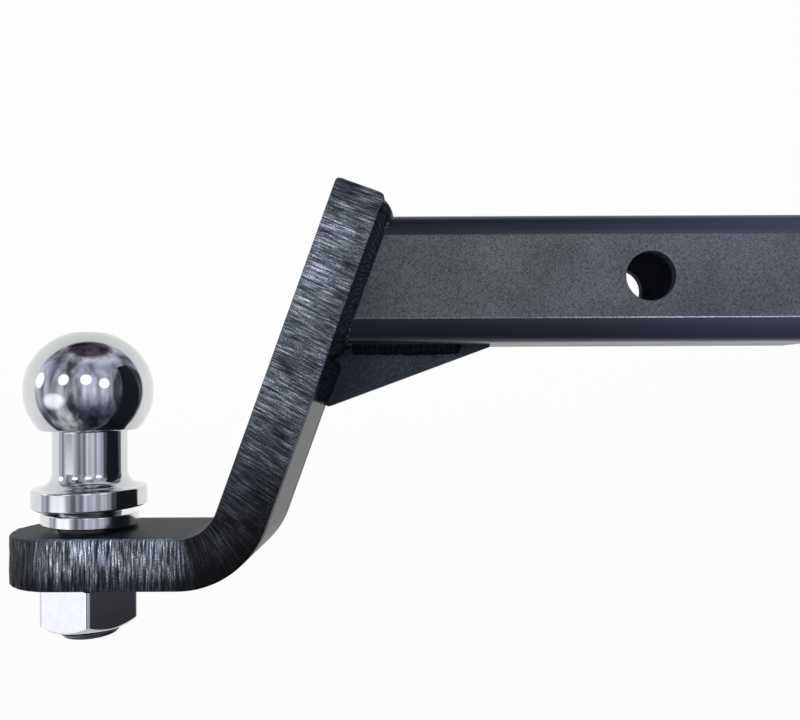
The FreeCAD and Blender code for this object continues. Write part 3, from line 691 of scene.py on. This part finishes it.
# split spring washer
washer = {
    "bore": 12.25,
    "width": 6.6,
    "thickness": 5.0,
    "edge": 0.45,
    "rise": 4.6,
    "split": 2.0,
    "lowEnd": 110.0,     # direction of the lower end, degrees from X
    "rows": 220,         # sections round the coil
}


# washer: a rounded rectangle carried once round the axis, clockwise and rising steadily
def makeWasher():
    e = washer["edge"]
    inner = washer["bore"]
    outer = inner + washer["width"]
    h = washer["thickness"]
    section = np.concatenate([
        profileArc(outer - e, e, e, -90, 0, 6),
        profileLine((outer, e + 0.1), (outer, h - e - 0.1), 6),
        profileArc(outer - e, h - e, e, 0, 90, 6),
        profileLine((outer - e - 0.1, h), (inner + e + 0.1, h), 5),
        profileArc(inner + e, h - e, e, 90, 180, 6),
        profileLine((inner, h - e - 0.1), (inner, e + 0.1), 4),
        profileArc(inner + e, e, e, 180, 270, 6),
        profileLine((inner + e + 0.1, 0), (outer - e - 0.1, 0), 5),
    ])
    middle = inner + washer["width"] / 2
    sweep = 2 * math.pi - washer["split"] / middle
    share = np.linspace(0, 1, washer["rows"])[:, None]
    angle = math.radians(washer["lowEnd"]) - share * sweep
    r = section[None, :, 0]
    z = section[None, :, 1] + share * washer["rise"] - plate["drop"]
    points = np.stack([ball["axisX"] + r * np.cos(angle), r * np.sin(angle), z + 0 * angle], axis=-1) * mm
    return gridPiece("lockWasher", points, ringV=True, caps=True, sharp=50.0)


dress(makeWasher(), "lock_washer", zincMat)

# hexagon nut
nut = {
    "acrossFlats": 36.0,
    "height": 19.0,
    "face": 17.1,          # radius of the bearing face
    "chamfer": 30.0,       # degrees, on the bearing side
    "lowChamfer": 42.0,    # degrees, on the outer side
    "bore": 12.1,
    "boreChamfer": 0.6,
    "cornerShare": 0.985,  # corners rounded by the forging die
    "turn": -8.7,          # direction of a corner, degrees from X
    "columns": 360,        # round the axis
}


# nut: at each angle the flat side lies at half the width over the cosine to the nearest flat, limited to the
# rounded corner; a chamfer cone then cuts each end, so its edge dips at the corners
def makeNut():
    flat = nut["acrossFlats"] / 2
    corner = flat / math.cos(math.pi / 6) * nut["cornerShare"]
    n = nut["columns"]
    angle = np.linspace(0, 2 * math.pi, n, endpoint=False)[:, None]
    off = (angle % (math.pi / 3)) - math.pi / 6
    side = np.minimum(flat / np.cos(off), corner)
    h = nut["height"]
    face = nut["face"]
    bore = nut["bore"]
    mouth = nut["boreChamfer"]
    share = np.linspace(0, 1, 6)[None, :]
    height = np.linspace(0, 1, 14)[None, 1:-1]
    drop = (side - face) * math.tan(math.radians(nut["chamfer"]))
    lowDrop = (side - face) * math.tan(math.radians(nut["lowChamfer"]))
    # outer face, its chamfer, the flats, the bearing side's chamfer, bearing face and bore
    r = np.concatenate([
        np.broadcast_to(bore + mouth * (1 - share), (n, 6)) + (face - bore - mouth) * share,
        face + (side - face) * share[:, 1:],
        side + 0 * height,
        side + (face - side) * share,
        np.broadcast_to(face + (bore + mouth - face) * share[:, 1:], (n, 5)),
        np.broadcast_to(bore + 0 * share, (n, 6)),
    ], axis=1)
    z = np.concatenate([
        np.zeros((n, 6)),
        lowDrop * share[:, 1:],
        lowDrop + (h - drop - lowDrop) * height,
        h - drop + drop * share,
        np.full((n, 5), h),
        np.broadcast_to(h - mouth + (2 * mouth - h) * share, (n, 6)),
    ], axis=1)
    spin = angle + math.radians(nut["turn"])
    base = -plate["drop"] - plate["thickness"] - h
    points = np.stack([ball["axisX"] + r * np.cos(spin), r * np.sin(spin), z + base], axis=-1) * mm
    return gridPiece("ballNut", points, ringU=True, ringV=True, sharp=25.0)


dress(makeNut(), "ball_nut", zincMat)
print("ball, washer and nut turned")

# weld round the shank: sizes in mm
shankWeld = {
    "side": 50.0,
    "wall": 5.0,
    "cornerRadius": 9.0,
    "reach": 7.0,        # up and down the plate
    "gap": 4.0,          # between tube end and plate
    "lap": 1.0,          # over the tube
    "crown": 0.5,        # height of the bead's crown
    "ripple": 0.2,
    "ripplePitch": 2.3,
    "count": 560,        # sections round the tube
    "columns": 16,       # from foot to toe
}
backNormalXZ = np.array([math.cos(lean), -math.sin(lean)])


# rounded rectangle by its share of the way round: four straight sides and four quarter arcs, each with a fixed
# share, so that two rectangles of different size match point for point; returns place and outward direction
def roundedOutline(p, halfY, halfU, r):
    straight = 0.2
    arc = 0.05
    leg = p * 4 % 1 * 0.25
    quarter = np.floor(p * 4).astype(int) % 4
    along = np.clip(leg / straight, 0, 1)
    turn = np.clip((leg - straight) / arc, 0, 1) * math.pi / 2
    a = np.where(quarter % 2 == 0, halfY, halfU) - r
    b = np.where(quarter % 2 == 0, halfU, halfY)
    lx = -a + 2 * a * along + r * np.sin(turn)
    ly = -(b - r) - r * np.cos(turn)
    nx = np.sin(turn)
    ny = -np.cos(turn)
    c = np.cos(quarter * math.pi / 2)
    s = np.sin(quarter * math.pi / 2)
    return (lx * c - ly * s, lx * s + ly * c), (nx * c - ny * s, nx * s + ny * c)


# bead: straight lines from the foot outline on the plate to the toe outline on the tube, raised by a crown of
# sine shape and by crescent ripples whose phase lags with the square of the way across
def makeShankWeld():
    w = shankWeld
    p = (np.arange(w["count"]) / w["count"])[:, None]
    q = np.linspace(0, 1, w["columns"])[None, :]
    halfU = w["side"] / 2 / math.cos(lean)
    depth = w["gap"] + w["lap"]
    foot, footOut = roundedOutline(p, halfWidth - 0.2, halfU + w["reach"] - 0.4, w["cornerRadius"])
    toe, _ = roundedOutline(p, w["side"] / 2 + 0.05, halfU + 0.05, w["cornerRadius"])
    inner, _ = roundedOutline(p, w["side"] / 2 - w["wall"], halfU - w["wall"], w["cornerRadius"] - w["wall"])
    outer, _ = roundedOutline(p, w["side"] / 2, halfU, w["cornerRadius"])
    stepY = np.diff(foot[0][:, 0], append=foot[0][:1, 0])
    stepU = np.diff(foot[1][:, 0], append=foot[1][:1, 0])
    length = np.concatenate([[0], np.cumsum(np.hypot(stepY, stepU))[:-1]])[:, None]
    wobble = smoothNoise(w["count"], w["columns"], 10, 6)
    ripple = np.cos(2 * math.pi * (length / w["ripplePitch"] - 0.55 * (2 * q - 1) ** 2 + 0.24 * wobble))
    upright = np.abs(footOut[1]) ** 2   # 1 on top and bottom, 0 on the sides, where the bead is ground flush
    crown = np.sin(math.pi * q) * (w["crown"] * upright - 0.15 * (1 - upright))
    lift = crown + w["ripple"] * (ripple - 1) * np.sin(math.pi * q) ** 0.7
    lift = lift + 0.05 * wobble * np.sin(math.pi * q)
    y = foot[0] + (toe[0] - foot[0]) * q + footOut[0] * lift
    u = foot[1] + (toe[1] - foot[1]) * q + footOut[1] * lift
    d = depth * q + upright * lift * 0.5
    y = np.clip(y, -halfWidth, halfWidth)
    back = np.ones_like(p)
    y = np.concatenate([y, outer[0], inner[0], inner[0]], axis=1)
    u = np.concatenate([u, outer[1], inner[1], inner[1]], axis=1)
    d = np.concatenate([d, w["gap"] * back, w["gap"] * back, 0 * back], axis=1)
    u = u + d * math.tan(lean)
    x = -plate["setback"] + u * legAxis[0] + d * backNormalXZ[0]
    z = u * legAxis[1] + d * backNormalXZ[1]
    points = np.stack([x, y, z], axis=-1) * mm
    track = np.zeros(points.shape)
    track[:, :w["columns"], 0] = (0.5 + 0.5 * ripple) * np.sin(math.pi * q)
    track[:, :w["columns"], 1] = q
    return gridPiece("shankWeld", points, ringU=True, ringV=True, track=track, sharp=70.0)


dress(makeShankWeld(), "shank_weld", weldMat)

# fillet welds of the gusset: sizes in mm
gussetWeld = {
    "thickness": 9.0,
    "leg": 4.5,
    "shankBead": (5.92, 50.5),   # start and end along the shank, from the inner corner
    "plateBead": (7.1, 25.3),    # start and end down the plate
    "crown": 0.45,
    "ripple": 0.16,
    "ripplePitch": 2.1,
    "step": 0.22,                # row spacing along a bead
    "columns": 14,               # from one leg to the other
    "stop": 2.2,                 # length of the rounded stop
}
cornerPoint = np.array([-plate["setback"] - shankWeld["side"] / 2 * math.tan(lean), -shankWeld["side"] / 2])


# straight fillet bead: a triangle between two faces whose slope is raised by a sine crown and crescent ripples,
# and whose legs shrink to a rounded stop at both ends
def makeGussetWeld(name, node, hand, span, along, across):
    w = gussetWeld
    start = cornerPoint + span[0] * along
    length = span[1] - span[0]
    rows = int(length / w["step"])
    v = np.linspace(0, length, rows)[:, None]
    q = np.linspace(0, 1, w["columns"])[None, :]
    nearEnd = np.minimum(v + 0.6, length - v)   # blunter where the bead joins the weld round the shank
    stop = np.minimum(1, np.sqrt(np.maximum(1 - (1 - nearEnd / w["stop"]).clip(0, 1) ** 2, 0.02)))
    wobble = smoothNoise(rows, w["columns"], 8, 5)
    leg = (w["leg"] - 0.25 + 0.2 * smoothNoise(rows, 1, 14, 0).clip(-1.2, 1.2)) * stop
    ripple = np.cos(2 * math.pi * (v / w["ripplePitch"] - 0.5 * (2 * q - 1) ** 2 + 0.1 * wobble))
    lift = np.sin(math.pi * q) * (w["crown"] * stop + w["ripple"] * ripple * stop)
    slope = 0.7071   # the crown rises square to a slope of 45 degrees
    side = np.maximum(np.concatenate([leg * (1 - q) + lift * slope, 0 * v], axis=1), 0)
    down = np.maximum(np.concatenate([leg * q + lift * slope, 0 * v], axis=1), 0)
    x = start[0] + along[0] * v + across[0] * down
    z = start[1] + along[1] * v + across[1] * down
    y = hand * (w["thickness"] / 2 + side) + 0 * x
    points = np.stack([x, y, z], axis=-1) * mm
    track = np.zeros(points.shape)
    track[:, :w["columns"], 0] = (0.35 + 0.35 * ripple) * np.sin(math.pi * q)
    piece = gridPiece(name, points, ringV=True, caps=True, track=track, sharp=70.0)
    return dress(piece, node, weldMat)


alongShank = np.array([1.0, 0.0])
downPlate = -legAxis
for handName, hand in (("right", -1.0), ("left", 1.0)):
    makeGussetWeld("gussetShankWeld" + handName.title(), "gusset_shank_weld_" + handName, hand,
                   gussetWeld["shankBead"], alongShank, np.array([0.0, -1.0]))
    makeGussetWeld("gussetPlateWeld" + handName.title(), "gusset_plate_weld_" + handName, hand,
                   gussetWeld["plateBead"], downPlate, backNormalXZ)
print("welds laid")

# stage: pale floor below the mount, running up into a backdrop
stageSet = {
    "floorDrop": 0.085,      # m below the mount's lowest point
    "halfWidth": 2.5,
    "front": -0.10,
    "back": 1.3,
    "rise": 1.6,
    "bend": 0.5,             # radius between floor and backdrop
    "glow": 0.93,            # share of plain white that the camera sees, the rest takes the shadow
}


# floor and backdrop in one sheet: flat, then a quarter circle, then upright
def makeBackdrop():
    floorZ = cadBox[0][2] - stageSet["floorDrop"]
    back = stageSet["back"]
    bendSize = stageSet["bend"]
    a = np.linspace(0, math.pi / 2, 24)
    y = np.concatenate([[stageSet["front"]], back - bendSize + bendSize * np.sin(a), [back]])[:, None]
    z = floorZ + np.concatenate([[0], bendSize * (1 - np.cos(a)), [stageSet["rise"]]])[:, None]
    x = np.array([-stageSet["halfWidth"], stageSet["halfWidth"]])[None, :]
    points = np.stack([x + 0 * y, y + 0 * x, z + 0 * x], axis=-1)
    sheet = gridPiece("paleBackdrop", points)
    mat, tree = newMaterial("palePaperBackdrop")
    path = addNode(tree, "LightPath")
    seen = addNode(tree, "Math", {"operation": "MAXIMUM"}, None,
                   {0: path.outputs["Is Camera Ray"], 1: path.outputs["Is Glossy Ray"]})
    seenToo = addNode(tree, "Math", {"operation": "MAXIMUM"}, None,
                      {0: seen.outputs[0], 1: path.outputs["Is Transmission Ray"]})
    share = addNode(tree, "Math", {"operation": "MULTIPLY"}, {1: stageSet["glow"]},
                    {0: seenToo.outputs[0]})
    glow = addNode(tree, "Emission", None, {"Color": grey(1.0), "Strength": 1.0})
    paper = addNode(tree, "BsdfDiffuse", None, {"Color": toLinear("#f4f4f4")})
    mix = addNode(tree, "MixShader", None, None,
                  {0: share.outputs[0], 1: paper.outputs["BSDF"], 2: glow.outputs["Emission"]})
    addNode(tree, "OutputMaterial", None, None, {"Surface": mix.outputs["Shader"]})
    sheet.data.materials.append(mat)
    sheet.visible_glossy = False  # mirrors see the room instead


makeBackdrop()

# room light: white to the camera; for paint, soft light that comes mostly from the front; for mirrors a grey
# blue room with upright bars of light, soft windows, a dark wall on the right, two pale patches low on the left,
# and the white paper behind
room = {
    "frontAim": (0.05, -0.98, -0.12),
    "frontLight": (0.10, 1.0),              # ambient from the back and from the front
    "towardsFront": (0.42, -0.907, 0.0),
    "paper": (-0.24, -0.33),                # mirrors that look further back than this see the paper
    "darkSide": (0.985, 0.174, 0.0),        # unlit wall
    "barScale": (2.6, 2.6, 0.5),            # bars of light, stretched upright
    "lowGlow": (-0.60, -0.663, -0.447),     # pale patch that the nut's left face mirrors
    "floorGlow": (-0.413, -0.492, -0.766),  # grey patch of lit floor
    "glowSquash": (1.0, 1.0, 1.9),          # flattens the nut's patch
    "windowTone": 1.5,                      # windows, as mirrors see them
    "windowEdge": (11.0, 6.5),              # degrees from a window's middle, where it fades in and is full
}
world = bpy.data.worlds.new("studioRoom")
scene.world = world
world.use_nodes = True
sky = world.node_tree
sky.nodes.clear()
path = addNode(sky, "LightPath")
aim = addNode(sky, "TexCoord")
part = addNode(sky, "SeparateXYZ", None, None, {"Vector": aim.outputs["Generated"]})
level = addNode(sky, "MapRange", None, {"From Min": -1.0, "From Max": 1.0},
                {"Value": part.outputs["Z"]})
tall = addNode(sky, "ValToRGB", None, None, {"Fac": level.outputs["Result"]})
setRamp(tall, [(0.06, toLinear("#343848")), (0.15, toLinear("#434656")), (0.25, toLinear("#585b6d")),
               (0.37, toLinear("#9c9fb0")), (0.50, toLinear("#bbbdcb")), (0.75, toLinear("#9c9eae")),
               (0.854, toLinear("#808292")), (0.935, toLinear("#a3a4b2")), (0.965, toLinear("#453c46"))])
wall = addNode(sky, "VectorMath", {"operation": "DOT_PRODUCT"}, {1: room["darkSide"]},
               {0: aim.outputs["Generated"]})
across = addNode(sky, "MapRange", None, {"From Min": -1.0, "From Max": 1.0},
                 {"Value": wall.outputs["Value"]})
wide = addNode(sky, "ValToRGB", None, None, {"Fac": across.outputs["Result"]})
setRamp(wide, [(0.0, grey(0.95)), (0.80, grey(1.0)), (0.885, grey(0.75)), (0.915, grey(0.11)),
               (0.955, grey(0.11)), (1.0, grey(0.26))])
upright = addNode(sky, "Mapping", None, {"Scale": room["barScale"]},
                  {"Vector": aim.outputs["Generated"]})
bars = addNode(sky, "TexNoise", None, {"Scale": 1.0, "Detail": 2.5, "Roughness": 0.6},
               {"Vector": upright.outputs["Vector"]})
barTone = addNode(sky, "MapRange", None,
                  {"From Min": 0.35, "From Max": 0.66, "To Min": 0.28, "To Max": 2.1},
                  {"Value": bars.outputs["Fac"]})
lit = addNode(sky, "VectorMath", {"operation": "MULTIPLY"}, None,
              {0: tall.outputs["Color"], 1: wide.outputs["Color"]})
barred = addNode(sky, "VectorMath", {"operation": "SCALE"}, None,
                 {0: lit.outputs["Vector"], "Scale": barTone.outputs["Result"]})
squash = addNode(sky, "VectorMath", {"operation": "MULTIPLY"}, {1: room["glowSquash"]},
                 {0: aim.outputs["Generated"]})
squashed = addNode(sky, "VectorMath", {"operation": "NORMALIZE"}, None, {0: squash.outputs["Vector"]})
low = addNode(sky, "VectorMath", {"operation": "DOT_PRODUCT"}, {1: room["lowGlow"]},
              {0: squashed.outputs["Vector"]})
glow = addNode(sky, "MapRange", {"interpolation_type": "SMOOTHSTEP"},
               {"From Min": 0.92, "From Max": 0.985, "To Max": 0.85}, {"Value": low.outputs["Value"]})
floor = addNode(sky, "VectorMath", {"operation": "DOT_PRODUCT"}, {1: room["floorGlow"]},
                {0: aim.outputs["Generated"]})
floorGlow = addNode(sky, "MapRange", {"interpolation_type": "SMOOTHSTEP"},
                    {"From Min": 0.87, "From Max": 0.97, "To Max": 0.32}, {"Value": floor.outputs["Value"]})
floorBars = addNode(sky, "Math", {"operation": "MULTIPLY_ADD"}, None,
                    {0: floorGlow.outputs["Result"], 1: barTone.outputs["Result"], 2: glow.outputs["Result"]})
shown = addNode(sky, "VectorMath", {"operation": "ADD"}, None,
                {0: barred.outputs["Vector"], 1: floorBars.outputs[0]})
# window lamps: a row of soft boxes round the front, whose light falls on the paint; mirrors see a soft spot in
# the room for each
lamps = [
    {"name": "windowRight", "aim": (0.739, -0.631, 0.233), "away": 1.3, "size": (0.30, 0.26), "watts": 3.0},
    {"name": "windowMiddle", "aim": (0.281, -0.892, 0.354), "away": 1.3, "size": (0.34, 0.28), "watts": 5.0},
    {"name": "windowLeft", "aim": (-0.370, -0.872, 0.32), "away": 1.3, "size": (0.36, 0.28), "watts": 5.0},
    {"name": "windowFarLeft", "aim": (-0.927, -0.301, 0.225), "away": 1.3, "size": (0.40, 0.30), "watts": 4.0},
]
for lampSet in lamps:
    toLamp = addNode(sky, "VectorMath", {"operation": "DOT_PRODUCT"}, {1: lampSet["aim"]},
                     {0: aim.outputs["Generated"]})
    fadeIn, full = (math.cos(math.radians(a)) for a in room["windowEdge"])
    spot = addNode(sky, "MapRange", {"interpolation_type": "SMOOTHSTEP"},
                   {"From Min": fadeIn, "From Max": full, "To Max": room["windowTone"]},
                   {"Value": toLamp.outputs["Value"]})
    shown = addNode(sky, "VectorMath", {"operation": "ADD"}, None,
                    {0: shown.outputs["Vector"], 1: spot.outputs["Result"]})
facing = addNode(sky, "VectorMath", {"operation": "DOT_PRODUCT"}, {1: room["towardsFront"]},
                 {0: aim.outputs["Generated"]})
isBack = addNode(sky, "MapRange", None, {"From Min": room["paper"][0], "From Max": room["paper"][1]},
                 {"Value": facing.outputs["Value"]})
front = addNode(sky, "VectorMath", {"operation": "DOT_PRODUCT"}, {1: room["frontAim"]},
                {0: aim.outputs["Generated"]})
fromBack, fromFront = room["frontLight"]
soft = addNode(sky, "MapRange", None,
               {"From Min": -0.3, "To Min": fromBack, "To Max": fromFront}, {"Value": front.outputs["Value"]})
ambient = addNode(sky, "Background", None, {"Color": toLinear("#f1f4ff")},
                  {"Strength": soft.outputs["Result"]})
white = addNode(sky, "Background", None, {"Color": grey(1.0), "Strength": 1.0})
paperTone = addNode(sky, "ValToRGB", None, None, {"Fac": level.outputs["Result"]})
setRamp(paperTone, [(0.05, toLinear("#cfd0d2")), (0.35, toLinear("#f7f7f7")), (0.60, toLinear("#f7f8f7")),
                    (0.95, toLinear("#e2e6e4"))])
paper = addNode(sky, "Background", None, {"Strength": 1.0}, {"Color": paperTone.outputs["Color"]})
dimRoom = addNode(sky, "Background", None, {"Strength": 1.0}, {"Color": shown.outputs["Vector"]})
mirror = addNode(sky, "MixShader", None, None,
                 {0: isBack.outputs["Result"], 1: dimRoom.outputs[0], 2: paper.outputs[0]})
glossy = addNode(sky, "MixShader", None, None,
                 {0: path.outputs["Is Glossy Ray"], 1: ambient.outputs[0], 2: mirror.outputs[0]})
seen = addNode(sky, "MixShader", None, None,
               {0: path.outputs["Is Camera Ray"], 1: glossy.outputs[0], 2: white.outputs[0]})
addNode(sky, "OutputWorld", None, None, {"Surface": seen.outputs[0]})

ballMiddle = Vector((ball["axisX"] * mm, 0, -0.045))  # the lamps stand round the ball
for lampSet in lamps:
    aimAt = Vector(lampSet["aim"])
    lampData = bpy.data.lights.new(lampSet["name"], "AREA")
    lampData.shape = "RECTANGLE"
    lampData.size, lampData.size_y = lampSet["size"]
    lampData.energy = lampSet["watts"]
    lamp = bpy.data.objects.new(lampSet["name"], lampData)
    lamp.location = ballMiddle + aimAt * lampSet["away"]
    lamp.rotation_euler = (-aimAt).to_track_quat("-Z", "Y").to_euler()
    lamp.visible_glossy = False  # mirrors see the room's soft spot instead
    scene.collection.objects.link(lamp)
print("stage and lamps set")
